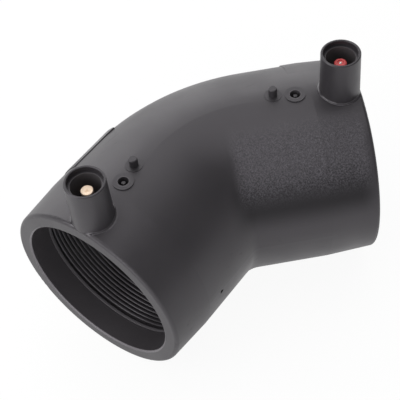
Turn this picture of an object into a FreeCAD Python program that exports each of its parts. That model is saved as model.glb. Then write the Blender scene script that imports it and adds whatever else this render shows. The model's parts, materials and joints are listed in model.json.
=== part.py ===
import FreeCAD, Part
import math
import os

import Sketcher
from FreeCAD import Placement, Rotation, Vector

# Electrofusion elbow of 45 degrees for 63 mm pipe.
# The two arm axes meet at one point and lie level; the terminals stand up from the arms.
# Shapes are drawn about that meeting point, and each placement lifts them to the frame
# whose origin is under the middle of the fitting.

NODES = [
    "elbow_body",
    "heating_coil",
    "terminal_pin_left",
    "contact_sleeve_right",
    "code_collar",
    "code_contact",
    "code_resistor",
    "indicator_pin_left",
    "indicator_pin_right",
]

SIZES = [
    # Outer form of the moulding
    ("wall_thickness", 7.0),
    ("bend_angle", 45.0),
    ("centre_to_face", 64.8),
    ("crown_radius", 55.0),
    ("crotch_round", 4.0),
    ("taper_length", 18.9),
    ("taper_angle", 3.3),
    ("rim_round", 1.5),
    # Pipe sockets and waterway
    ("pipe_diameter", 63.0),
    ("pipe_clearance", 0.5),
    ("socket_depth", 44.0),
    ("lead_in", 0.5),
    ("pipe_shoulder", 4.0),
    ("waterway_bend", 46.0),
    # Heating coil
    ("coil_start", 10.3),
    ("coil_lip", 1.75),
    ("coil_pitch", 1.66),
    ("coil_turns", 16),
    ("coil_thickness", 1.3),
    ("ridge_height", 0.4),
    ("wire_radius", 0.4),
    ("wire_cover", 0.1),
    ("lead_rise", 2.4),
    # Terminal shrouds
    ("terminal_inset", 7.8),
    ("shroud_rise", 17.6),
    ("shroud_rim_radius", 7.4),
    ("shroud_draft", 0.8),
    ("shroud_hole_radius", 5.5),
    ("shroud_hole_depth", 15.5),
    ("shroud_mouth_radius", 6.4),
    ("shroud_mouth_depth", 2.2),
    ("shroud_bevel", 0.2),
    ("shroud_edge", 0.3),
    ("shroud_root", 0.7),
    # Terminals
    ("pin_radius", 2.35),
    ("pin_recess", 4.7),
    ("pin_bevel", 0.25),
    ("collar_radius", 3.6),
    ("collar_thickness", 1.2),
    ("tail_radius", 1.5),
    ("tail_below_wire", 0.7),
    ("sleeve_bore", 1.5),
    ("code_head", 1.0),
    ("code_plug", 4.0),
    ("code_bevel", 0.4),
    ("code_dish_radius", 1.25),
    ("code_dish_depth", 0.3),
    ("contact_radius", 0.55),
    ("contact_proud", 0.2),
    ("contact_bevel", 0.15),
    ("resistor_radius", 1.15),
    ("resistor_length", 4.5),
    ("resistor_lead", 0.3),
    ("resistor_lead_length", 1.0),
    # Fusion indicators and the moulded stud beside each
    ("indicator_inset", 24.8),
    ("boss_radius", 3.9),
    ("boss_rise", 0.3),
    ("well_radius", 2.05),
    ("well_above_coil", 2.0),
    ("indicator_radius", 0.75),
    ("indicator_foot", 1.3),
    ("foot_thickness", 0.6),
    ("indicator_recess", 0.8),
    ("stud_inset", 33.0),
    ("stud_offset", 1.6),
    ("stud_radius", 1.65),
    ("stud_rise", 3.7),
    ("stud_bevel", 0.3),
    ("stud_ring_radius", 3.3),
    ("stud_ring_rise", 0.15),
]


class Measure:
    """A length or angle that knows its expression in the sheet and its present number."""

    def __init__(self, text, number):
        self.text = text
        self.number = number

    def __add__(self, other):
        other = measured(other)
        return Measure(f"({self.text} + {other.text})", self.number + other.number)

    def __sub__(self, other):
        other = measured(other)
        return Measure(f"({self.text} - {other.text})", self.number - other.number)

    def __mul__(self, other):
        other = measured(other)
        return Measure(f"({self.text} * {other.text})", self.number * other.number)

    def __truediv__(self, other):
        other = measured(other)
        return Measure(f"({self.text} / {other.text})", self.number / other.number)

    def __neg__(self):
        return Measure(f"(-1 * {self.text})", -self.number)


def measured(value):
    return value if isinstance(value, Measure) else Measure(str(value), float(value))


def sine(angle):
    return Measure(f"sin({angle.text} * 1 deg)", math.sin(math.radians(angle.number)))


def cosine(angle):
    return Measure(f"cos({angle.text} * 1 deg)", math.cos(math.radians(angle.number)))


def tangent(angle):
    return Measure(f"tan({angle.text} * 1 deg)", math.tan(math.radians(angle.number)))


# Places and radii closer than this, in millimetres, are the same
SAME = 0.001

doc = FreeCAD.newDocument("elbow")


def make_sheet():
    sheet = doc.addObject("Spreadsheet::Sheet", "Sizes")
    for row, (name, number) in enumerate(SIZES, start=1):
        sheet.set(f"A{row}", name)
        sheet.set(f"B{row}", str(number))
        sheet.setAlias(f"B{row}", name)
    doc.recompute()
    return sheet


sheet = make_sheet()


def size(name):
    return Measure(f"Sizes.{name}", float(sheet.get(name)))


# Measures that several pieces share
half_bend = size("bend_angle") / 2
face = size("centre_to_face")
pipe = size("pipe_diameter") / 2
bore = pipe + size("pipe_clearance")
outer = bore + size("wall_thickness")
socket_end = face - size("socket_depth")
coil_outside = bore + size("coil_thickness")
wire_line = coil_outside - size("wire_cover") - size("wire_radius")
coil_front = face - size("coil_start")
coil_back = coil_front - size("coil_lip") - size("coil_turns") * size("coil_pitch")
terminal_place = face - size("terminal_inset")
rim_top = outer + size("shroud_rise")
shroud_floor = rim_top - size("shroud_hole_depth")
pin_top = rim_top - size("pin_recess")
wire_level = wire_line + size("lead_rise")
boss_top = outer + size("boss_rise")
well_floor = coil_outside + size("well_above_coil")
waterway = pipe - size("pipe_shoulder")

# Each arm narrows toward its mouth; the rounding of the rim touches the taper and the face
taper_start = face - size("taper_length")
mouth = outer - size("taper_length") * tangent(size("taper_angle"))
rim_centre = outer - (size("taper_length") - size("rim_round")) * tangent(size("taper_angle"))
rim_centre = rim_centre - size("rim_round") / cosine(size("taper_angle"))

# The front and back edges of the bend lie equally far from the origin
inside_edge = sine(half_bend) * (face - size("rim_round"))
inside_edge = inside_edge + cosine(half_bend) * rim_centre + size("rim_round")
outside_edge = outer + size("crown_radius") - size("crown_radius") / cosine(half_bend)
crossing_y = (inside_edge - outside_edge) / 2


def along(distance, side):
    """Place of a point on an arm's axis; side is -1 on the left arm and 1 on the right."""
    return distance * cosine(half_bend) * side, -(distance * sine(half_bend))


def origin_plane(body, role):
    return next(o for o in body.Origin.OriginFeatures if o.Role == role)


def new_body(name):
    body = doc.addObject("PartDesign::Body", name)
    body.Label = name
    return body


def new_sketch(body, name, role="XY_Plane", level=None):
    """Sketch on one of the body's own planes, raised by level along the plane's normal."""
    sketch = body.newObject("Sketcher::SketchObject", name)
    sketch.AttachmentSupport = [(origin_plane(body, role), "")]
    sketch.MapMode = "FlatFace"
    if level is not None:
        sketch.setExpression("AttachmentOffset.Base.z", level.text)
    return sketch


def arm_sketch(body, name, role, about):
    """Sketch whose horizontal axis is the right arm's axis, turned there about one direction."""
    sketch = new_sketch(body, name, role)
    sketch.AttachmentOffset = Placement(Vector(), Rotation(about, half_bend.number))
    sketch.setExpression("AttachmentOffset.Rotation.Angle", half_bend.text)
    return sketch


def pin(sketch, item, end, across, up):
    """Hold one end of an item at its place; a place of None lies on the sketch's own axis."""
    for kind, place, axis in (("DistanceX", across, -2), ("DistanceY", up, -1)):
        if place is None:
            sketch.addConstraint(Sketcher.Constraint("PointOnObject", item, end, axis))
            continue
        rule = Sketcher.Constraint(kind, -1, 1, item, end, place.number)
        number = sketch.addConstraint(rule)
        sketch.setExpression(f"Constraints[{number}]", place.text)


def spot(across, up):
    """Present place of a corner in its sketch."""
    x = 0.0 if across is None else across.number
    y = 0.0 if up is None else up.number
    return Vector(x, y, 0)


def closed_outline(sketch, corners):
    """Straight-sided outline through corners."""
    first = sketch.GeometryCount
    count = len(corners)
    for i in range(count):
        start = spot(*corners[i])
        finish = spot(*corners[(i + 1) % count])
        sketch.addGeometry(Part.LineSegment(start, finish))
    for i in range(count):
        link = Sketcher.Constraint("Coincident", first + i, 2, first + (i + 1) % count, 1)
        sketch.addConstraint(link)
    for i, (across, up) in enumerate(corners):
        pin(sketch, first + i, 1, across, up)


def ring(sketch, across, up, radius):
    """Circle with its centre and radius held by the sheet."""
    circle = Part.Circle(spot(across, up), Vector(0, 0, 1), radius.number)
    number = sketch.addGeometry(circle)
    rule = sketch.addConstraint(Sketcher.Constraint("Radius", number, radius.number))
    sketch.setExpression(f"Constraints[{rule}]", radius.text)
    pin(sketch, number, 3, across, up)


def lift(item):
    """Bring a piece drawn about the crossing of the arm axes to its place."""
    item.setExpression("Placement.Base.y", crossing_y.text)
    item.setExpression("Placement.Base.z", outer.text)


def bend_route(sketch, radius, reach):
    """Centre line of a bend: straight, arc, straight, the arc tangent to both straights."""
    setback = radius * tangent(half_bend)
    ends = [along(reach, -1), along(setback, -1), along(setback, 1), along(reach, 1)]
    centre = radius / cosine(half_bend)
    circle = Part.Circle(Vector(0, -centre.number, 0), Vector(0, 0, 1), radius.number)
    half = math.radians(half_bend.number)
    upright = math.pi / 2
    sketch.addGeometry(Part.LineSegment(spot(*ends[0]), spot(*ends[1])))
    sketch.addGeometry(Part.ArcOfCircle(circle, upright - half, upright + half))
    sketch.addGeometry(Part.LineSegment(spot(*ends[2]), spot(*ends[3])))
    sketch.addConstraint(Sketcher.Constraint("Coincident", 0, 2, 1, 2))
    sketch.addConstraint(Sketcher.Constraint("Coincident", 1, 1, 2, 1))
    pin(sketch, 0, 1, *ends[0])
    pin(sketch, 0, 2, *ends[1])
    pin(sketch, 2, 1, *ends[2])
    pin(sketch, 2, 2, *ends[3])
    rule = sketch.addConstraint(Sketcher.Constraint("Radius", 1, radius.number))
    sketch.setExpression(f"Constraints[{rule}]", radius.text)


def straight_route(sketch, start, finish):
    """Straight centre line between two places."""
    sketch.addGeometry(Part.LineSegment(spot(*start), spot(*finish)))
    pin(sketch, 0, 1, *start)
    pin(sketch, 0, 2, *finish)


def across_route(section, route, radius):
    """Round section square to the first edge of a route."""
    section.AttachmentSupport = [(route, "Edge1")]
    section.MapMode = "NormalToEdge"
    ring(section, None, None, radius)


def bent_tube(name, radius, bend):
    """Outer tube of the fitting with one bend radius, face to face."""
    route = doc.addObject("Sketcher::SketchObject", f"{name}_route")
    bend_route(route, bend, face)
    section = doc.addObject("Sketcher::SketchObject", f"{name}_section")
    across_route(section, route, radius)
    sweep = doc.addObject("Part::Sweep", name)
    sweep.Sections = [section]
    sweep.Spine = (route, [])
    sweep.Solid = True
    sweep.Frenet = False
    return sweep


def piped(body, name, route, radius):
    """Round bar along a route, added to a body."""
    section = body.newObject("Sketcher::SketchObject", f"{name}_section")
    across_route(section, route, radius)
    pipe = body.newObject("PartDesign::AdditivePipe", name)
    pipe.Profile = section
    pipe.Spine = (route, [])
    return pipe


def turned(body, name, sketch, kind="PartDesign::Revolution", axis="H_Axis"):
    """Full turn of a sketch about one of its axes, added or cut away."""
    feature = body.newObject(kind, name)
    feature.Profile = sketch
    feature.ReferenceAxis = (sketch, [axis])
    feature.Angle = 360.0
    return feature


def mirrored(body, name, originals):
    """The same features on the other arm."""
    feature = body.newObject("PartDesign::Mirrored", name)
    feature.Originals = originals
    feature.MirrorPlane = (origin_plane(body, "YZ_Plane"), [""])
    body.Tip = feature
    return feature


def edges_of(feature, wanted):
    """Names of the feature's edges that pass a test of place and size."""
    doc.recompute()
    edges = enumerate(feature.Shape.Edges, start=1)
    return [f"Edge{number}" for number, edge in edges if wanted(edge)]


def is_ring(edge, radius, level=None):
    """Whole circle of this radius, at this height if one is given."""
    curve = edge.Curve
    if not isinstance(curve, Part.Circle) or not edge.isClosed():
        return False
    if abs(curve.Radius - radius.number) > SAME:
        return False
    return level is None or abs(curve.Center.z - level.number) < SAME


def root_edges(feature):
    """Edges where a drafted post runs into the arm it stands on."""
    doc.recompute()
    sides = [f for f in feature.Shape.Faces if isinstance(f.Surface, Part.Cone)]
    curved = [
        edge
        for face_of_post in sides
        for edge in face_of_post.Edges
        if not isinstance(edge.Curve, (Part.Circle, Part.Line))
    ]
    return edges_of(feature, lambda edge: any(edge.isSame(other) for other in curved))


def eased(body, kind, name, feature, names, amount):
    """Fillet or chamfer of the named edges."""
    item = body.newObject(kind, name)
    item.Base = (feature, names)
    quality = "Radius" if kind == "PartDesign::Fillet" else "Size"
    item.setExpression(quality, amount.text)
    return item


def raised(body, name, sketch, height, draft=None):
    pad = body.newObject("PartDesign::Pad", name)
    pad.Profile = sketch
    pad.setExpression("Length", height.text)
    if draft is not None:
        pad.setExpression("TaperAngle", (-draft).text)
    return pad


def sunk(body, name, sketch, depth):
    pocket = body.newObject("PartDesign::Pocket", name)
    pocket.Profile = sketch
    pocket.setExpression("Length", depth.text)
    return pocket


# Outer form: a wide bend rounds the outside, a tight bend keeps the inside corner crisp
crown_tube = bent_tube("crown_tube", outer, size("crown_radius"))
crotch_tube = bent_tube("crotch_tube", outer, outer + size("crotch_round"))
outer_form = doc.addObject("Part::Common", "outer_form")
outer_form.Base = crown_tube
outer_form.Tool = crotch_tube
doc.recompute()

# The moulding before its inserts are let in
mould = new_body("moulding")
mould.BaseFeature = outer_form
doc.recompute()

# Taper of both arms toward the mouth, its line drawn on past the face and past the straight part
slope = tangent(size("taper_angle"))
before_taper = taper_start - size("taper_length")
past_taper = face + size("rim_round")
above = outer + size("taper_length") * slope
profile = arm_sketch(mould, "taper_profile", "XY_Plane", Vector(0, 0, -1))
closed_outline(
    profile,
    [
        (before_taper, above),
        (past_taper, above),
        (past_taper, mouth - size("rim_round") * slope),
    ],
)
taper = turned(mould, "taper", profile, "PartDesign::Groove")
tapered = mirrored(mould, "taper_on_left", [taper])
rims = edges_of(tapered, lambda edge: is_ring(edge, mouth))
eased(mould, "PartDesign::Fillet", "rim_rounding", tapered, rims, size("rim_round"))
doc.recompute()

# Terminal shrouds, rising from the middle of the wall with a draft
wall_middle = (bore + outer) / 2
shroud_height = rim_top - wall_middle
shroud_base = size("shroud_rim_radius") + shroud_height * tangent(size("shroud_draft"))
plan = new_sketch(mould, "shroud_plan", level=wall_middle)
for side in (-1, 1):
    ring(plan, *along(terminal_place, side), shroud_base)
shrouds = raised(mould, "shrouds", plan, shroud_height, size("shroud_draft"))

rooted = eased(
    mould, "PartDesign::Fillet", "shroud_roots", shrouds, root_edges(shrouds), size("shroud_root")
)
outside_rims = edges_of(rooted, lambda edge: is_ring(edge, size("shroud_rim_radius"), rim_top))
eased(mould, "PartDesign::Chamfer", "shroud_edges", rooted, outside_rims, size("shroud_edge"))
plan = new_sketch(mould, "shroud_hole_plan", level=rim_top)
for side in (-1, 1):
    ring(plan, *along(terminal_place, side), size("shroud_hole_radius"))
sunk(mould, "shroud_holes", plan, size("shroud_hole_depth"))

# The top of each shroud is wider inside and leaves a ledge for the connector's housing
plan = new_sketch(mould, "shroud_mouth_plan", level=rim_top)
for side in (-1, 1):
    ring(plan, *along(terminal_place, side), size("shroud_mouth_radius"))
mouths = sunk(mould, "shroud_mouths", plan, size("shroud_mouth_depth"))
inside_rims = edges_of(mouths, lambda edge: is_ring(edge, size("shroud_mouth_radius"), rim_top))
eased(mould, "PartDesign::Chamfer", "shroud_bevels", mouths, inside_rims, size("shroud_bevel"))

# Fusion indicators: a low ring on each arm with a blind well in it
indicator_place = face - size("indicator_inset")
plan = new_sketch(mould, "boss_plan", level=wall_middle)
for side in (-1, 1):
    ring(plan, *along(indicator_place, side), size("boss_radius"))
raised(mould, "bosses", plan, boss_top - wall_middle)
plan = new_sketch(mould, "well_plan", level=boss_top)
for side in (-1, 1):
    ring(plan, *along(indicator_place, side), size("well_radius"))
sunk(mould, "wells", plan, boss_top - well_floor)

# Short moulded stud beside each well, set toward the outside of the bend
stud_places = []
for side in (-1, 1):
    across, up = along(face - size("stud_inset"), side)
    across = across + size("stud_offset") * sine(half_bend) * side
    stud_places.append((across, up + size("stud_offset") * cosine(half_bend)))
plan = new_sketch(mould, "stud_ring_plan", level=wall_middle)
for place in stud_places:
    ring(plan, *place, size("stud_ring_radius"))
raised(mould, "stud_rings", plan, outer + size("stud_ring_rise") - wall_middle)
plan = new_sketch(mould, "stud_plan", level=wall_middle)
for place in stud_places:
    ring(plan, *place, size("stud_radius"))
stud_top = outer + size("stud_rise")
studs = raised(mould, "studs", plan, stud_top - wall_middle)
stud_rims = edges_of(studs, lambda edge: is_ring(edge, size("stud_radius"), stud_top))
eased(mould, "PartDesign::Chamfer", "stud_bevels", studs, stud_rims, size("stud_bevel"))

# Pipe socket, coil seat and the straight end of the waterway, all turned about the arm's axis
past_face = face + size("lead_in")
setback = size("waterway_bend") * tangent(half_bend)
profile = arm_sketch(mould, "socket_profile", "XY_Plane", Vector(0, 0, -1))
closed_outline(
    profile,
    [
        (setback, None),
        (setback, waterway),
        (socket_end, waterway),
        (socket_end, bore),
        (coil_back, bore),
        (coil_back, coil_outside),
        (coil_front, coil_outside),
        (coil_front, bore),
        (face - size("lead_in"), bore),
        (past_face, bore + size("lead_in") * 2),
        (past_face, None),
    ],
)
socket = turned(mould, "socket", profile, "PartDesign::Groove")
mirrored(mould, "socket_on_left", [socket])

# Bent middle of the waterway
profile = new_sketch(mould, "waterway_profile", "YZ_Plane")
bend_centre = size("waterway_bend") / cosine(half_bend)
ring(profile, size("waterway_bend") - bend_centre, None, waterway)
hub = Part.LineSegment(spot(-bend_centre, -outer), spot(-bend_centre, outer))
axis = profile.addGeometry(hub, True)
pin(profile, axis, 1, -bend_centre, -outer)
pin(profile, axis, 2, -bend_centre, outer)
bend = turned(mould, "waterway_bend_cut", profile, "PartDesign::Groove", "Axis0")
bend.Midplane = True
bend.setExpression("Angle", "Sizes.bend_angle")
mould.Tip = bend
lift(mould)

# Heating coil: one coated wire, its turns moulded together into a ridged ring in each socket,
# with a lead up to each terminal and a link through the wall of the bend
coil = new_body("heating_coil")
link_start, link_level = along(coil_back + size("coil_pitch"), -1)
link_end, link_level = along(coil_back + size("coil_pitch"), 1)
route = new_sketch(coil, "link_route", level=wire_line)
straight_route(route, (link_start, link_level), (link_end, link_level))
piped(coil, "link", route, size("wire_radius"))
lip = coil_front - size("coil_lip")
groove = bore + size("ridge_height")
outline = [(coil_back, coil_outside), (coil_front, coil_outside), (coil_front, groove)]
outline.append((coil_front - size("coil_lip") / 4, bore))
outline.append((lip + size("coil_lip") / 4, bore))
for number in range(int(size("coil_turns").number)):
    outline.append((lip - size("coil_pitch") * number, groove))
    outline.append((lip - size("coil_pitch") * (number + 0.5), bore))
outline.append((coil_back, groove))
profile = arm_sketch(coil, "turns_profile", "XY_Plane", Vector(0, 0, -1))
closed_outline(profile, outline)
turns = turned(coil, "turns", profile)
route = arm_sketch(coil, "lead_route", "XZ_Plane", Vector(0, -1, 0))
lead_start = coil_front - size("coil_lip") / 2
lead_end = terminal_place + size("tail_radius") - size("wire_radius")
straight_route(route, (lead_start, wire_line), (lead_end, wire_level))
lead = piped(coil, "lead", route, size("wire_radius"))
mirrored(coil, "turns_and_lead_on_left", [turns, lead])
lift(coil)


def standing_body(name, distance, side):
    """Body whose vertical axis stands on the axis of one arm."""
    body = new_body(name)
    across, up = along(distance, side)
    body.setExpression("Placement.Base.x", across.text)
    body.setExpression("Placement.Base.y", (crossing_y + up).text)
    body.setExpression("Placement.Base.z", outer.text)
    return body


def upright_turning(body, name, corners):
    """Round piece turned about its own upright axis; heights count from the arm's axis."""
    profile = new_sketch(body, f"{name}_profile", "XZ_Plane")
    closed_outline(profile, corners)
    feature = turned(body, name, profile, axis="V_Axis")
    body.Tip = feature


# Terminals: a tail that holds the lead, a collar in the wall and a contact in the shroud
tail_end = wire_level - size("tail_below_wire")
collar_foot = shroud_floor - size("collar_thickness")
below_contact = [
    (None, tail_end),
    (size("tail_radius"), tail_end),
    (size("tail_radius"), collar_foot),
    (size("collar_radius"), collar_foot),
    (size("collar_radius"), shroud_floor),
    (size("pin_radius"), shroud_floor),
]
plain_tip = [
    (size("pin_radius"), pin_top - size("pin_bevel")),
    (size("pin_radius") - size("pin_bevel"), pin_top),
    (None, pin_top),
]
sleeve_top = pin_top - size("code_head")
plug_end = sleeve_top - size("code_plug")
resistor_end = plug_end - size("resistor_length")
sleeve_floor = resistor_end - size("resistor_lead_length")
hollow_tip = [
    (size("pin_radius"), sleeve_top),
    (size("sleeve_bore"), sleeve_top),
    (size("sleeve_bore"), sleeve_floor),
    (None, sleeve_floor),
]
left_blank = standing_body("left_pin_blank", terminal_place, -1)
upright_turning(left_blank, "left_pin_turning", below_contact + plain_tip)
right_blank = standing_body("right_sleeve_blank", terminal_place, 1)
upright_turning(right_blank, "right_sleeve_turning", below_contact + hollow_tip)

# Coded terminal: red plug in the sleeve, thin contact through it, resistor below
code_collar = standing_body("code_collar", terminal_place, 1)
dish = pin_top - size("code_dish_depth")
upright_turning(
    code_collar,
    "collar_turning",
    [
        (size("contact_radius"), plug_end),
        (size("sleeve_bore"), plug_end),
        (size("sleeve_bore"), sleeve_top),
        (size("pin_radius"), sleeve_top),
        (size("pin_radius"), pin_top - size("code_bevel")),
        (size("pin_radius") - size("code_bevel"), pin_top),
        (size("code_dish_radius"), pin_top),
        (size("code_dish_radius"), dish),
        (size("contact_radius"), dish),
    ],
)
code_contact = standing_body("code_contact", terminal_place, 1)
contact_top = dish + size("contact_proud")
upright_turning(
    code_contact,
    "contact_turning",
    [
        (None, plug_end),
        (size("contact_radius"), plug_end),
        (size("contact_radius"), contact_top - size("contact_bevel")),
        (size("contact_radius") - size("contact_bevel"), contact_top),
        (None, contact_top),
    ],
)
code_resistor = standing_body("code_resistor", terminal_place, 1)
upright_turning(
    code_resistor,
    "resistor_turning",
    [
        (None, sleeve_floor),
        (size("resistor_lead"), sleeve_floor),
        (size("resistor_lead"), resistor_end),
        (size("resistor_radius"), resistor_end),
        (size("resistor_radius"), plug_end),
        (None, plug_end),
    ],
)

# Fusion indicator pins, standing loose on the floors of their wells
indicator_top = boss_top - size("indicator_recess")
foot_top = well_floor + size("foot_thickness")
for side, word in ((-1, "left"), (1, "right")):
    indicator = standing_body(f"indicator_pin_{word}", indicator_place, side)
    upright_turning(
        indicator,
        f"indicator_turning_{word}",
        [
            (None, well_floor),
            (size("indicator_foot"), well_floor),
            (size("indicator_foot"), foot_top),
            (size("indicator_radius"), foot_top),
            (size("indicator_radius"), indicator_top),
            (None, indicator_top),
        ],
    )


def fitted(name, base, tool):
    """A piece with the room for another cut out of it."""
    piece = doc.addObject("Part::Cut", name)
    piece.Label = name
    piece.Base = base
    piece.Tool = tool
    return piece


# The wire passes through the tails, and the moulding closes round all that is let into it
fitted("terminal_pin_left", left_blank, coil)
fitted("contact_sleeve_right", right_blank, coil)
inserts = doc.addObject("Part::MultiFuse", "inserts")
inserts.Shapes = [coil, left_blank, right_blank]
fitted("elbow_body", mould, inserts)

doc.recompute()
failed = [o.Label for o in doc.Objects if "Invalid" in o.State or "Error" in o.State]
if failed:
    raise RuntimeError(f"these objects failed: {failed}")

os.makedirs("parts", exist_ok=True)
for name in NODES:
    shape = doc.getObjectsByLabel(name)[0].Shape
    if shape.isNull() or not shape.isValid():
        raise RuntimeError(f"{name} has no valid shape")
    shape.exportStep(os.path.join("parts", f"{name}.step"))
    box = shape.BoundBox
    extent = f"{box.XLength:.2f} x {box.YLength:.2f} x {box.ZLength:.2f}"
    print(f"{name}: {len(shape.Solids)} solid, {extent} mm, {shape.Volume:.1f} mm3")
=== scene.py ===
import json
import math

import bpy
from mathutils import Matrix, Vector


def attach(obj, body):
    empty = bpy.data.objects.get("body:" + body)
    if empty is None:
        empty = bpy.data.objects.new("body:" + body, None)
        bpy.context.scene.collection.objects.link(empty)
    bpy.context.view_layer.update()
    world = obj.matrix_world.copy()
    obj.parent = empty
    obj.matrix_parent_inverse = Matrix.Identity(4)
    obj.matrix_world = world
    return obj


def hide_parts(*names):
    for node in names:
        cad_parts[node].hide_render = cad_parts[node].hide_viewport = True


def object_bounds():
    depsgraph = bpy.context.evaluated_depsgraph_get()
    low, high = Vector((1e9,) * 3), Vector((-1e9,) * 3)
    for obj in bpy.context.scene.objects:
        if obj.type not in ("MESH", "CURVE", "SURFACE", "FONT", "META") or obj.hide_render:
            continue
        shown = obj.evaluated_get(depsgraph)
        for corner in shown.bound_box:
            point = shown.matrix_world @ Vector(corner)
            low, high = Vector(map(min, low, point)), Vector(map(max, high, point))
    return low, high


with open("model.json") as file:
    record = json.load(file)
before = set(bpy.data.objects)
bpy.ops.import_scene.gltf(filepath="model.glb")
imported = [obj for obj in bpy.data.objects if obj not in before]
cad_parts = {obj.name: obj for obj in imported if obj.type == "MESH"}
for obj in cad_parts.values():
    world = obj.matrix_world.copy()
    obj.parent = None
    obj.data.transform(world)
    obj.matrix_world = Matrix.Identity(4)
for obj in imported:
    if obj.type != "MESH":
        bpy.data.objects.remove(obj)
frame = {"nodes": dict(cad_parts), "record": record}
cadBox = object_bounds()
nodes = frame["nodes"]
print("frame loaded")

mm = 0.001  # the scene is in metres, and the part's sizes below are in millimetres
mounts = {mount["name"]: mount for mount in frame["record"]["mounts"]}
rightSocket = mounts["socket_right"]
rightReach = rightSocket["pos_m"][0] / rightSocket["axis"][0]
bendCentre = Vector(rightSocket["pos_m"]) - rightReach * Vector(rightSocket["axis"])
armAxis = {"left": Vector(mounts["socket_left"]["axis"]), "right": Vector(rightSocket["axis"])}
terminalPlace = {side: Vector(mounts["terminal_" + side]["pos_m"]) for side in armAxis}
boreRadius = rightSocket["dims"]["r_mm"]
upward = Vector((0, 0, 1))
mergeReach = 0.001 * mm  # corners nearer than this count as one
weldReach = 0.0001 * mm


# Helpers for modelling
def clearSelection():
    bpy.ops.object.select_all(action="DESELECT")


def pickOnly(piece):
    clearSelection()
    piece.select_set(True)
    bpy.context.view_layer.objects.active = piece


# Names the object that was just made, copied or joined.
def newPiece(name):
    piece = bpy.context.object
    piece.name = name
    piece.data.name = name
    return piece


# Puts the place of the piece, turned by one more matrix, into its mesh.
def bakePlace(piece, place=Matrix.Identity(4)):
    piece.matrix_world = place @ piece.matrix_world
    pickOnly(piece)
    bpy.ops.object.transform_apply(location=True, rotation=True, scale=True)


def applyAll(piece):
    pickOnly(piece)
    for modifier in list(piece.modifiers):
        bpy.ops.object.modifier_apply(modifier=modifier.name)


# Clears what is selected in the mesh and stays in object mode, ready for pickParts.
def editStart(piece, mode="FACE"):
    pickOnly(piece)
    bpy.ops.object.mode_set(mode="EDIT")
    bpy.ops.mesh.select_mode(type=mode)
    bpy.ops.mesh.select_all(action="DESELECT")
    bpy.ops.object.mode_set(mode="OBJECT")


def editEnd():
    bpy.ops.object.mode_set(mode="OBJECT")


# Selects the corners, edges or faces that pass a test, and goes into edit mode.
def pickParts(parts, wanted):
    for part in parts:
        part.select = bool(wanted(part))
    bpy.ops.object.mode_set(mode="EDIT")


# Merges doubles, turns the faces outward, and smooths what bends by less than the angle.
def tidyNormals(piece, angle):
    editStart(piece)
    bpy.ops.object.mode_set(mode="EDIT")
    bpy.ops.mesh.select_all(action="SELECT")
    bpy.ops.mesh.remove_doubles(threshold=mergeReach)
    bpy.ops.mesh.normals_make_consistent(inside=False)
    editEnd()
    pickOnly(piece)
    bpy.ops.object.shade_smooth_by_angle(angle=math.radians(angle))


def copyOf(piece, name):
    pickOnly(piece)
    bpy.ops.object.duplicate(linked=False)
    return newPiece(name)


# Gives the piece one material on all its slots.
def wear(piece, material):
    piece.data.materials.clear()
    piece.data.materials.append(material)


# Fixes the piece to the root and hides the CAD nodes that it stands for.
def seat(piece, slotName, *replaced):
    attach(piece, "root")
    if replaced:
        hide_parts(*replaced)


# Turns a shape made upright round Z onto an arm, with Z running out of its mouth and Y up.
def armMatrix(side):
    axis = armAxis[side]
    across = upward.cross(axis)
    turn = Matrix((across, upward, axis)).transposed().to_4x4()
    return Matrix.Translation(bendCentre) @ turn


# Helpers for materials: an input takes a plain value, or a link from another node's output
def newMaterial(name):
    material = bpy.data.materials.new(name)
    material.use_nodes = True
    material.node_tree.nodes.clear()
    return material, material.node_tree


def addNode(tree, kind, inputs, **settings):
    nodeSpacing = 200
    node = tree.nodes.new(kind)
    node.location = (nodeSpacing * len(tree.nodes), 0)
    for name, value in settings.items():
        setattr(node, name, value)
    for name, value in inputs.items():
        if isinstance(value, bpy.types.NodeSocket):
            tree.links.new(value, node.inputs[name])
        else:
            node.inputs[name].default_value = value
    return node


def addMath(tree, operation, first, second=0):
    node = addNode(tree, "ShaderNodeMath", {0: first, 1: second}, operation=operation)
    return node.outputs["Value"]


def addVector(tree, operation, first, second=(0, 0, 0)):
    node = addNode(tree, "ShaderNodeVectorMath", {0: first, 1: second}, operation=operation)
    return node.outputs["Value" if operation in ("LENGTH", "DOT_PRODUCT") else "Vector"]


# Leads a value from low at the start to high at the end, softly unless told otherwise.
def addStep(tree, value, start, end, low=0, high=1, course="SMOOTHSTEP"):
    inputs = {"Value": value, "From Min": start, "From Max": end, "To Min": low, "To Max": high}
    return addNode(tree, "ShaderNodeMapRange", inputs, interpolation_type=course).outputs["Result"]


def addNoise(tree, point, scale, detail, roughness=0.5):
    inputs = {"Vector": point, "Scale": scale, "Detail": detail, "Roughness": roughness}
    return addNode(tree, "ShaderNodeTexNoise", inputs).outputs["Fac"]


# Goes from one colour to another as the factor goes from 0 to 1.
def mixColours(tree, factor, *colours):
    first, second = (c if isinstance(c, bpy.types.NodeSocket) else (*c, 1) for c in colours)
    inputs = {"Factor": factor, "A": first, "B": second}
    return addNode(tree, "ShaderNodeMix", inputs, data_type="RGBA").outputs["Result"]


def addBump(tree, height, strength, distance):
    inputs = {"Height": height, "Strength": strength, "Distance": distance}
    return addNode(tree, "ShaderNodeBump", inputs).outputs["Normal"]


def addSurface(tree, inputs):
    shader = addNode(tree, "ShaderNodeBsdfPrincipled", inputs)
    addNode(tree, "ShaderNodeOutputMaterial", {"Surface": shader.outputs["BSDF"]})


# How far a point lies along an axis from a place, and how far away from that axis.
def alongAndAcross(tree, point, centre, axis):
    offset = addVector(tree, "SUBTRACT", point, centre)
    along = addVector(tree, "DOT_PRODUCT", offset, axis)
    across = addVector(tree, "LENGTH", addVector(tree, "CROSS_PRODUCT", offset, axis))
    return along, across


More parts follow.
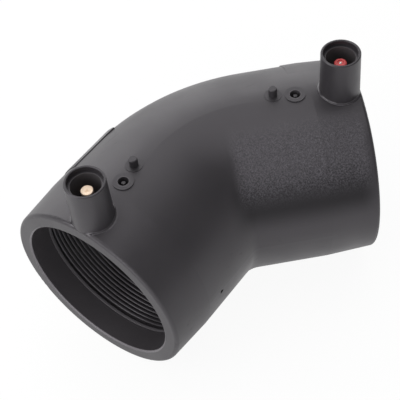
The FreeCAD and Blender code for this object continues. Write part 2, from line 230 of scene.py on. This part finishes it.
# Black polyethylene: soft clouds of tone, a fine grain from the mould, light scuffs
plasticGrain = {
    "cloudScale": 38,
    "cloudDetail": 5,
    "cloudGloss": (0.2, 0.8),
    "grainDetail": 3,
    "scuffTurn": (0.3, 0.5, 0.4),
    "scuffStretch": (60, 900, 700),
    "scuffDetail": 2,
    "scuffStep": (0.66, 0.78),
    "bump": 0.4,
    "tint": (0.985, 0.94, 1.0),
}
bodyLook = {
    "dark": (0.0175, 0.0160, 0.0180),
    "pale": (0.0270, 0.0250, 0.0280),
    "roughness": (0.36, 0.50),
    "specular": 0.62,
    "grainScale": 1400,
    "grainHeight": 0.03,
    "scuffs": 0.10,
}
coilLook = {
    "dark": (0.0240, 0.0220, 0.0245),
    "pale": (0.0340, 0.0315, 0.0345),
    "roughness": (0.32, 0.44),
    "specular": 0.6,
    "grainScale": 1800,
    "grainHeight": 0.02,
    "scuffs": 0.05,
}
# The coil's lip is the coil's plastic painted about four times paler: a painted highlight.
lipHighlightLook = {**coilLook, "dark": (0.092, 0.086, 0.093), "pale": (0.110, 0.103, 0.111)}
indicatorLook = {
    "dark": (0.022, 0.0205, 0.0225),
    "pale": (0.034, 0.032, 0.035),
    "roughness": (0.42, 0.54),
    "specular": 0.55,
    "grainScale": 2400,
    "grainHeight": 0.02,
    "scuffs": 0.05,
}

# Where the body's marks and its painted light and shade are, in millimetres in the frame or along an
# arm, and their tones
bodyPlaces = {
    "edgeBlur": 0.25,
    "boreEdge": boreRadius + 0.4,
    # Painted light: the bore, shroud-hole and well walls are painted paler than the outside.
    "boreLitTone": (0.042, 0.0385, 0.042),
    # Painted highlight: from lipStart to the face, the inside of each mouth's edge is painted paler.
    "lipStart": 64.1,
    "mouthEdgeHighlightTone": (0.12, 0.112, 0.121),
    "shroudBore": 5.6,
    "shroudFloor": 80.0,
    "shroudSink": -0.5,
    "shroudLitTone": (0.078, 0.073, 0.077),
    "wellRadius": 2.2,
    "wellPlace": 40.0,
    "wellLitTone": (0.060, 0.056, 0.061),
    "rootRing": (7.75, 8.35),
    "rootDepth": 4.5,
    "rootBlur": (0.1, 0.3),
    "rootPolish": 0.30,
    # Painted highlight: in a rough patch on the right arm's upper flank the bumps are real, the bright
    # specks are painted glints.
    "sparkPatch": {"centre": (25.0, -25.0, 70.2), "length": (22.5, 27.0), "width": (6.0, 18.5)},
    "sparkScale": 1700,
    "sparkDetail": 4,
    "sparkRoughness": 0.8,
    "sparkStep": (0.36, 0.70),
    "sparkHeight": 0.6,
    "paintedGlintTone": (0.092, 0.087, 0.098),
    # Painted shade: a dark band lower on the right arm's flank, where the gloss is also cut.
    "shadeBandPatch": {"centre": (21.3, -32.7, 58.8), "length": (20.0, 30.0), "width": (3.0, 14.0)},
    "shadeBandTone": (0.002, 0.0018, 0.0025),
    "shadeBandGloss": 0.32,
    # Painted shade: the nick pits are painted dark.
    "nickShadeTone": (0.006, 0.0055, 0.006),
    "nickFloor": 0.4,
    "nicks": (
        {"place": (-20.6, -38.4, 38.2), "radius": 1.3, "depth": 0.5},
        {"place": (-43.0, -47.4, 41.5), "radius": 0.7, "depth": 0.3},
        {"place": (9.6, 23.7, 75.4), "radius": 0.5, "depth": 0.2},
    ),
}


# 1 inside a round hole, within its radius and above its floor, and 0 elsewhere.
def insideMark(tree, point, centre, axis, radius, floor=0):
    along, across = alongAndAcross(tree, point, centre, axis)
    edge = (radius + bodyPlaces["edgeBlur"]) * mm
    hollow = addStep(tree, across, radius * mm, edge, 1, 0)
    ahead = addMath(tree, "GREATER_THAN", along, floor * mm)
    return addMath(tree, "MULTIPLY", hollow, ahead)


# Middle of the floor of a shroud's hole.
def shroudFoot(side):
    foot = terminalPlace[side].copy()
    foot.z = bodyPlaces["shroudFloor"] * mm
    return foot


# Painted light: the walls of bores, shroud holes and wells are painted paler than the outside, and each
# mouth's inner edge gets a painted highlight.
def paintedLightInsides(tree, point, colour):
    edge = bodyPlaces["boreEdge"]
    for side, axis in armAxis.items():
        well = bendCentre + axis * bodyPlaces["wellPlace"] * mm
        marks = {
            "boreLitTone": (bendCentre, axis, edge),
            "mouthEdgeHighlightTone": (bendCentre, axis, edge, bodyPlaces["lipStart"]),
            "shroudLitTone": (shroudFoot(side), upward, bodyPlaces["shroudBore"], bodyPlaces["shroudSink"]),
            "wellLitTone": (well, upward, bodyPlaces["wellRadius"], boreRadius),
        }
        for tone, hole in marks.items():
            colour = mixColours(tree, insideMark(tree, point, *hole), colour, bodyPlaces[tone])
    return colour


# A ring round the foot of each shroud, rubbed smooth by the mould.
def footRings(tree, point):
    inner, outer = (reach * mm for reach in bodyPlaces["rootRing"])
    low = -bodyPlaces["rootDepth"] * mm
    narrow, wide = (blur * mm for blur in bodyPlaces["rootBlur"])
    rings = []
    for side in armAxis:
        along, across = alongAndAcross(tree, point, shroudFoot(side), upward)
        outside = addStep(tree, across, inner - narrow, inner)
        within = addStep(tree, across, outer, outer + wide, 1, 0)
        above = addStep(tree, along, low - narrow, low)
        ring = addMath(tree, "MULTIPLY", outside, within)
        rings.append(addMath(tree, "MULTIPLY", ring, above))
    return addMath(tree, "MAXIMUM", *rings)


# Soft-edged band along the right arm's flank: 1 in its middle, 0 outside it.
def flankPatch(tree, point, patch):
    centre = Vector(patch["centre"]) * mm
    along, across = alongAndAcross(tree, point, centre, armAxis["right"])
    reach = addMath(tree, "ABSOLUTE", along)
    lengthwise = addStep(tree, reach, *(edge * mm for edge in patch["length"]), 1, 0)
    crosswise = addStep(tree, across, *(edge * mm for edge in patch["width"]), 1, 0)
    return addMath(tree, "MULTIPLY", lengthwise, crosswise)


# Small nicks: one mask for the painted shade in their pits and one depth in metres.
def nickDepth(tree, point):
    mask, depth = 0, 0
    for nick in bodyPlaces["nicks"]:
        radius = nick["radius"] * mm
        offset = addVector(tree, "SUBTRACT", point, Vector(nick["place"]) * mm)
        distance = addVector(tree, "LENGTH", offset)
        pit = addStep(tree, distance, bodyPlaces["nickFloor"] * radius, radius, 1, 0)
        mask = addMath(tree, "MAXIMUM", pit, mask)
        depth = addMath(tree, "ADD", addMath(tree, "MULTIPLY", pit, nick["depth"] * mm), depth)
    return mask, depth


# Adds the body's marks and painted light to its plain plastic: a band of painted glints, a band of
# painted shade, painted light on the insides, rubbed rings, and nicks with painted shade in them.
def markBody(tree, point, colour, roughness, height, specular):
    shadeBand = flankPatch(tree, point, bodyPlaces["shadeBandPatch"])
    sparkling = flankPatch(tree, point, bodyPlaces["sparkPatch"])
    speck = addNoise(tree, point, bodyPlaces["sparkScale"], bodyPlaces["sparkDetail"],
                     bodyPlaces["sparkRoughness"])
    # Painted highlight: the brightest specks of the rough patch become painted glints.
    paintedGlints = addStep(tree, speck, *bodyPlaces["sparkStep"])
    paintedGlints = addMath(tree, "MULTIPLY", paintedGlints, sparkling)
    rough = addMath(tree, "MULTIPLY", speck, bodyPlaces["sparkHeight"] * mm)
    rough = addMath(tree, "MULTIPLY", rough, sparkling)
    nicked, depth = nickDepth(tree, point)
    # Painted shade along the lower band of the right arm's flank.
    colour = mixColours(tree, shadeBand, colour, bodyPlaces["shadeBandTone"])
    colour = mixColours(tree, paintedGlints, colour, bodyPlaces["paintedGlintTone"])
    colour = paintedLightInsides(tree, point, colour)
    colour = mixColours(tree, nicked, colour, bodyPlaces["nickShadeTone"])
    polish = addMath(tree, "MULTIPLY", footRings(tree, point), bodyPlaces["rootPolish"])
    roughness = addMath(tree, "SUBTRACT", roughness, polish)
    height = addMath(tree, "ADD", height, rough)
    height = addMath(tree, "SUBTRACT", height, depth)
    faint = addMath(tree, "MULTIPLY", shadeBand, bodyPlaces["shadeBandGloss"])
    faint = addMath(tree, "MAXIMUM", faint, nicked)
    specular = addMath(tree, "MULTIPLY", addMath(tree, "SUBTRACT", 1, faint), specular)
    return colour, roughness, height, specular


def mouldedPlastic(name, look, isBody=False):
    material, tree = newMaterial(name)
    point = addNode(tree, "ShaderNodeTexCoord", {}).outputs["Object"]
    cloud = addNoise(tree, point, plasticGrain["cloudScale"], plasticGrain["cloudDetail"])
    grain = addNoise(tree, point, look["grainScale"], plasticGrain["grainDetail"])
    stretched = addNode(tree, "ShaderNodeMapping", {
        "Vector": point,
        "Rotation": plasticGrain["scuffTurn"],
        "Scale": plasticGrain["scuffStretch"],
    }).outputs["Vector"]
    scuff = addNoise(tree, stretched, 1, plasticGrain["scuffDetail"])
    rubbed = addStep(tree, scuff, *plasticGrain["scuffStep"], 0, look["scuffs"])
    gloss = addStep(tree, cloud, *plasticGrain["cloudGloss"], *look["roughness"])
    colour = mixColours(tree, cloud, look["dark"], look["pale"])
    roughness = addMath(tree, "ADD", gloss, rubbed)
    height = addMath(tree, "MULTIPLY", grain, look["grainHeight"] * mm)
    specular = look["specular"]
    if isBody:
        colour, roughness, height, specular = markBody(tree, point, colour, roughness, height, specular)
    addSurface(tree, {
        "Base Color": colour,
        "Roughness": roughness,
        "Specular IOR Level": specular,
        "Specular Tint": (*plasticGrain["tint"], 1),
        "Normal": addBump(tree, height, plasticGrain["bump"], 1),  # the height is in metres
    })
    return material


bodyPlastic = mouldedPlastic("bodyPlastic", bodyLook, isBody=True)
coilPlastic = mouldedPlastic("coilPlastic", coilLook)
lipHighlightPlastic = mouldedPlastic("lipHighlightPlastic", lipHighlightLook)
indicatorPlastic = mouldedPlastic("indicatorPlastic", indicatorLook)
wear(nodes["elbow_body"], bodyPlastic)
evenShading = nodes["elbow_body"].modifiers.new("evenShading", "WEIGHTED_NORMAL")
evenShading.mode = "FACE_AREA"
evenShading.keep_sharp = True
for name in ("indicator_pin_left", "indicator_pin_right"):
    wear(nodes[name], indicatorPlastic)
print("body dressed")

# Terminals: turned brass, a red plug with its tinned contact, and the resistor inside
metalGrain = {
    "ringScale": 2600,
    "ringWaver": 1.5,
    "stainScale": 700,
    "stainDetail": 4,
    "stainStep": (0.25, 0.5),
    "bump": 0.25,
    "depth": 0.02,
}
speckGrain = {"detail": 4, "bump": 0.2, "depth": 0.02}
brassLook = {"dark": (0.70, 0.50, 0.33), "pale": (0.84, 0.67, 0.52), "roughness": (0.30, 0.42)}
contactLook = {"dark": (0.66, 0.50, 0.44), "pale": (0.96, 0.86, 0.82), "roughness": (0.22, 0.34)}
plugLook = {
    "dark": (0.58, 0.060, 0.065),
    "pale": (0.76, 0.120, 0.120),
    "roughness": 0.26,
    "specular": 0.6,
    "scale": 900,
}
resistorLook = {
    "dark": (0.42, 0.36, 0.26),
    "pale": (0.56, 0.50, 0.38),
    "roughness": 0.6,
    "specular": 0.5,
    "scale": 1500,
}


# Metal with the fine rings that a lathe leaves round one upright axis.
def turnedMetal(name, look, centre):
    material, tree = newMaterial(name)
    point = addNode(tree, "ShaderNodeTexCoord", {}).outputs["Object"]
    middle = addNode(tree, "ShaderNodeMapping", {
        "Vector": point,
        "Location": (-centre.x, -centre.y, 0),
    }).outputs["Vector"]
    rings = addNode(tree, "ShaderNodeTexWave", {
        "Vector": middle,
        "Scale": metalGrain["ringScale"],
        "Distortion": metalGrain["ringWaver"],
    }, wave_type="RINGS", rings_direction="Z").outputs["Fac"]
    stain = addNoise(tree, point, metalGrain["stainScale"], metalGrain["stainDetail"])
    clean = addStep(tree, stain, *metalGrain["stainStep"], course="LINEAR")
    smooth, dull = look["roughness"]
    roughness = addStep(tree, clean, 0, 1, dull, smooth, course="LINEAR")
    addSurface(tree, {
        "Base Color": mixColours(tree, clean, look["dark"], look["pale"]),
        "Metallic": 1,
        "Roughness": roughness,
        "Normal": addBump(tree, rings, metalGrain["bump"], metalGrain["depth"] * mm),
    })
    return material


# Plain material whose tone drifts a little.
def speckled(name, look):
    material, tree = newMaterial(name)
    point = addNode(tree, "ShaderNodeTexCoord", {}).outputs["Object"]
    drift = addNoise(tree, point, look["scale"], speckGrain["detail"])
    addSurface(tree, {
        "Base Color": mixColours(tree, drift, look["dark"], look["pale"]),
        "Roughness": look["roughness"],
        "Specular IOR Level": look["specular"],
        "Normal": addBump(tree, drift, speckGrain["bump"], speckGrain["depth"] * mm),
    })
    return material


wear(nodes["terminal_pin_left"], turnedMetal("leftBrass", brassLook, terminalPlace["left"]))
wear(nodes["contact_sleeve_right"], turnedMetal("rightBrass", brassLook, terminalPlace["right"]))
wear(nodes["code_contact"], turnedMetal("tinnedContact", contactLook, terminalPlace["right"]))
wear(nodes["code_collar"], speckled("redPlug", plugLook))
wear(nodes["code_resistor"], speckled("ceramicResistor", resistorLook))
print("terminals dressed")

# Heating coils: one bar of coated wire wound close, and the lip that closes it in front, which wears a
# painted highlight
coilSet = {
    "turns": 15,
    "pitch": 1.682,
    "seam": 0.02,  # hairline between two turns, so that their walls stay apart
    "seatRadius": 33.3,
    "lipFront": 54.5,
    "lipWidth": 1.4,
    "corner": 0.62,
    "lipCorner": 0.3,
    "cornerSteps": 5,
    "turnSteps": 90,
    "lipSteps": 144,
    "smoothAngle": 50,
}


# Bar with rounded inner corners, wound round Z from its front edge backwards.
def turnedBar(name, front, width, corner, steps, turns, lead):
    thick = coilSet["seatRadius"] - boreRadius
    middle = Vector(((coilSet["seatRadius"] - thick / 2) * mm, 0, (front - width / 2) * mm))
    clearSelection()
    bpy.ops.mesh.primitive_plane_add(size=1, location=middle, rotation=(math.pi / 2, 0, 0))
    bar = newPiece(name)
    bpy.ops.transform.resize(value=(thick * mm, 1, width * mm))
    bakePlace(bar)
    editStart(bar, "VERT")
    pickParts(bar.data.vertices, lambda point: point.co.x < middle.x)
    bpy.ops.mesh.bevel(offset=corner * mm, segments=coilSet["cornerSteps"], affect="VERTICES")
    bpy.ops.mesh.select_all(action="SELECT")
    bpy.ops.mesh.delete(type="ONLY_FACE")
    editEnd()
    screw = bar.modifiers.new("wind", "SCREW")
    screw.axis = "Z"
    screw.iterations = turns
    screw.screw_offset = -lead * mm
    screw.steps = steps
    screw.render_steps = steps
    applyAll(bar)
    return bar


# Closes the two open ends of a wound bar.
def closeEnds(bar):
    editStart(bar, "EDGE")
    bpy.ops.object.mode_set(mode="EDIT")
    bpy.ops.mesh.select_all(action="SELECT")
    bpy.ops.mesh.remove_doubles(threshold=weldReach)
    bpy.ops.mesh.select_all(action="DESELECT")
    bpy.ops.mesh.select_non_manifold()
    bpy.ops.mesh.fill_holes(sides=0)
    editEnd()


coilBack = coilSet["lipFront"] - coilSet["lipWidth"]
turns = turnedBar("turns", coilBack - coilSet["seam"], coilSet["pitch"] - coilSet["seam"],
                  coilSet["corner"], coilSet["turnSteps"], coilSet["turns"], coilSet["pitch"])
closeEnds(turns)
lip = turnedBar("lip", coilSet["lipFront"], coilSet["lipWidth"],
                coilSet["lipCorner"], coilSet["lipSteps"], 1, 0)
for bar, material in ((turns, coilPlastic), (lip, lipHighlightPlastic)):
    tidyNormals(bar, coilSet["smoothAngle"])
    wear(bar, material)
clearSelection()
lip.select_set(True)
turns.select_set(True)
bpy.context.view_layer.objects.active = turns
bpy.ops.object.join()
leftCoil = newPiece("coilLeft")
rightCoil = copyOf(leftCoil, "coilRight")
for coil, side in ((leftCoil, "left"), (rightCoil, "right")):
    bakePlace(coil, armMatrix(side))
    seat(coil, "coil", "heating_coil")
print("coils wound")

# The same wire inside the wall: a link behind the bend and a lead up to each terminal.
# A place is a reach along the arm from the bend's centre, and a level above it.
wireSet = {
    "radius": 0.4,
    "link": (27.85, 32.8),
    "leadStart": (53.625, 32.8),
    "leadEnd": (58.1, 35.2),
    "faces": 16,
    "sharpAngle": 60,
    "bevel": 0.1,
    "bevelSteps": 2,
    "smoothAngle": 40,
}


def wirePiece(name, start, finish):
    run = finish - start
    turn = run.to_track_quat("Z", "Y").to_euler()
    clearSelection()
    bpy.ops.mesh.primitive_cylinder_add(
        vertices=wireSet["faces"], radius=wireSet["radius"] * mm, depth=run.length,
        location=(start + finish) / 2, rotation=turn)
    wire = newPiece(name)
    bakePlace(wire)
    editStart(wire, "EDGE")
    bpy.ops.object.mode_set(mode="EDIT")
    bpy.ops.mesh.edges_select_sharp(sharpness=math.radians(wireSet["sharpAngle"]))
    bpy.ops.mesh.bevel(offset=wireSet["bevel"] * mm, segments=wireSet["bevelSteps"], affect="EDGES")
    editEnd()
    tidyNormals(wire, wireSet["smoothAngle"])
    wear(wire, coilPlastic)
    seat(wire, "coil", "heating_coil")


# A place in the upright plane through an arm's axis.
def onArm(side, reach, level):
    return bendCentre + armAxis[side] * reach * mm + Vector((0, 0, level * mm))


wirePiece("coilLink", onArm("left", *wireSet["link"]), onArm("right", *wireSet["link"]))
for side in ("left", "right"):
    wirePiece("coilLead" + side.capitalize(), onArm(side, *wireSet["leadStart"]),
              onArm(side, *wireSet["leadEnd"]))
print("wires laid")

# Blank raised panels on the far flanks of both arms.
# They run from one place along the arm to another, and round it from bottom to top in degrees.
panelSet = {
    "depth": 1.0,
    "edge": 0.15,
    "edgeSteps": 2,
    "edgeAngle": 50,
    "taperStart": 45.9,
    "taperAngle": 3.3,
    "faces": 360,
    "smoothAngle": 30,
}
leftPanel = {
    "side": "left",
    "flank": -1,
    "radius": 39.35,
    "shift": (0, 0),
    "from": 14.4,
    "to": 38.0,
    "top": 46,
    "bottom": -14,
}
rightPanel = {
    "side": "right",
    "flank": 1,
    "radius": 38.9,
    "shift": (0.95, -0.25),
    "from": 39.8,
    "to": 56.0,
    "top": 76,
    "bottom": 2,
}


# Draws the outer edge of a panel's tube on and in, where its arm narrows.
def narrowEnd(piece, panel, middle, taper):
    corners = piece.data.vertices
    shrink = 1 - taper * math.tan(math.radians(panelSet["taperAngle"])) / panel["radius"]
    editStart(piece, "EDGE")
    pickParts(piece.data.edges, lambda edge: all(corners[i].co.z > middle for i in edge.vertices))
    bpy.ops.mesh.extrude_region_move(TRANSFORM_OT_translate={"value": (0, 0, taper * mm)})
    bpy.ops.transform.resize(value=(shrink, shrink, 1), center_override=(0, 0, 0))
    editEnd()


def dataPanel(name, panel):
    straightEnd = min(panel["to"], panelSet["taperStart"])
    straight = straightEnd - panel["from"]
    middle = (panel["from"] + straight / 2) * mm
    clearSelection()
    bpy.ops.mesh.primitive_cylinder_add(
        vertices=panelSet["faces"], radius=panel["radius"] * mm, depth=straight * mm,
        end_fill_type="NOTHING", location=(0, 0, middle))
    piece = newPiece(name)
    bakePlace(piece)
    if panel["to"] > straightEnd:
        narrowEnd(piece, panel, middle, panel["to"] - straightEnd)

    def outside(face):
        angle = math.degrees(math.atan2(face.center.y, panel["flank"] * face.center.x))
        return not panel["bottom"] < angle < panel["top"]

    editStart(piece)
    pickParts(piece.data.polygons, outside)
    bpy.ops.mesh.delete(type="FACE")
    editEnd()
    wall = piece.modifiers.new("wall", "SOLIDIFY")
    wall.thickness = panelSet["depth"] * mm
    wall.offset = -1
    edge = piece.modifiers.new("edge", "BEVEL")
    edge.width = panelSet["edge"] * mm
    edge.segments = panelSet["edgeSteps"]
    edge.angle_limit = math.radians(panelSet["edgeAngle"])
    applyAll(piece)
    tidyNormals(piece, panelSet["smoothAngle"])
    across, up = panel["shift"]
    bakePlace(piece, armMatrix(panel["side"]) @ Matrix.Translation((across * mm, up * mm, 0)))
    wear(piece, bodyPlastic)
    seat(piece, "body")


dataPanel("dataPanelLeft", leftPanel)
dataPanel("dataPanelRight", rightPanel)
print("panels added")

# Floor, in metres: matt for the light, and nearly white where the camera or a reflection sees it
floorLook = {"size": 12.0, "tone": (0.93, 0.93, 0.93), "backdrop": 0.93}
clearSelection()
bpy.ops.mesh.primitive_plane_add(size=floorLook["size"], location=(0, 0, cadBox[0][2]))
floor = bpy.context.object
floor.name = "floor"
floorPaint, tree = newMaterial("floorPaint")
path = addNode(tree, "ShaderNodeLightPath", {}).outputs
seen = addMath(tree, "MAXIMUM", path["Is Camera Ray"], path["Is Glossy Ray"])
seen = addMath(tree, "MAXIMUM", seen, path["Is Transmission Ray"])
share = addMath(tree, "MULTIPLY", seen, floorLook["backdrop"])
matt = addNode(tree, "ShaderNodeBsdfDiffuse", {"Color": (*floorLook["tone"], 1)}).outputs["BSDF"]
white = addNode(tree, "ShaderNodeEmission", {"Color": (1, 1, 1, 1), "Strength": 1}).outputs["Emission"]
mixed = addNode(tree, "ShaderNodeMixShader", {"Fac": share, 1: matt, 2: white}).outputs["Shader"]
addNode(tree, "ShaderNodeOutputMaterial", {"Surface": mixed})
wear(floor, floorPaint)

# Light: a pale sky, which the camera sees as nearly white, and soft lamps placed in metres
lightSet = {
    "worldStrength": 0.30,
    "seenExtra": 0.68,
    "aim": (0, 0, 0.05),
    "lamps": [
        {"name": "backLamp", "place": (0.05, 0.75, 0.75), "size": 0.9, "watts": 1.6},
        {"name": "backLowLamp", "place": (0.0, 1.1, 0.30), "size": 1.2, "watts": 6.5},
        {"name": "topLamp", "place": (0.0, 0.1, 1.2), "size": 1.0, "watts": 4.7},
        {"name": "leftLamp", "place": (-0.85, 0.15, 0.55), "size": 0.7, "watts": 4.4},
        {"name": "leftFrontLamp", "place": (-0.75, -0.45, 0.22), "size": 0.6, "watts": 3.0},
        {"name": "rightBackLamp", "place": (0.8, 0.7, 0.4), "size": 0.8, "watts": 3.2},
        {"name": "frontLamp", "place": (-0.15, -0.9, 0.45), "size": 0.7, "watts": 0.8},
    ],
}
world = bpy.data.worlds.new("studio")
bpy.context.scene.world = world
world.use_nodes = True
sky = world.node_tree.nodes["Background"]
sky.inputs["Color"].default_value = (1, 1, 1, 1)
path = addNode(world.node_tree, "ShaderNodeLightPath", {}).outputs
glow = addMath(world.node_tree, "MULTIPLY", path["Is Camera Ray"], lightSet["seenExtra"])
glow = addMath(world.node_tree, "ADD", glow, lightSet["worldStrength"])
world.node_tree.links.new(glow, sky.inputs["Strength"])
for lamp in lightSet["lamps"]:
    light = bpy.data.lights.new(lamp["name"], "AREA")
    light.size = lamp["size"]
    light.energy = lamp["watts"]
    holder = bpy.data.objects.new(lamp["name"], light)
    bpy.context.scene.collection.objects.link(holder)
    holder.location = lamp["place"]
    sight = Vector(lightSet["aim"]) - holder.location
    holder.rotation_euler = sight.to_track_quat("-Z", "Y").to_euler()
print("light set")

# Camera at the photo's viewing angle: its place is measured in metres from the bend's centre
cameraSet = {
    "offset": (-0.117575, -0.244085, 0.321919),
    "right": (0.85221, -0.51722, -0.07892),
    "up": (0.4471, 0.64156, 0.6233),
    "lens": 94.0,
    "sensor": 36,
}
cameraData = bpy.data.cameras.new("camera")
cameraData.lens = cameraSet["lens"]
cameraData.sensor_width = cameraSet["sensor"]
camera = bpy.data.objects.new("camera", cameraData)
bpy.context.scene.collection.objects.link(camera)
right, up = Vector(cameraSet["right"]), Vector(cameraSet["up"])
turn = Matrix((right, up, right.cross(up))).transposed().to_4x4()
camera.matrix_world = Matrix.Translation(bendCentre + Vector(cameraSet["offset"])) @ turn
bpy.context.scene.camera = camera
bpy.context.scene.view_settings.view_transform = "Standard"
print("camera set")
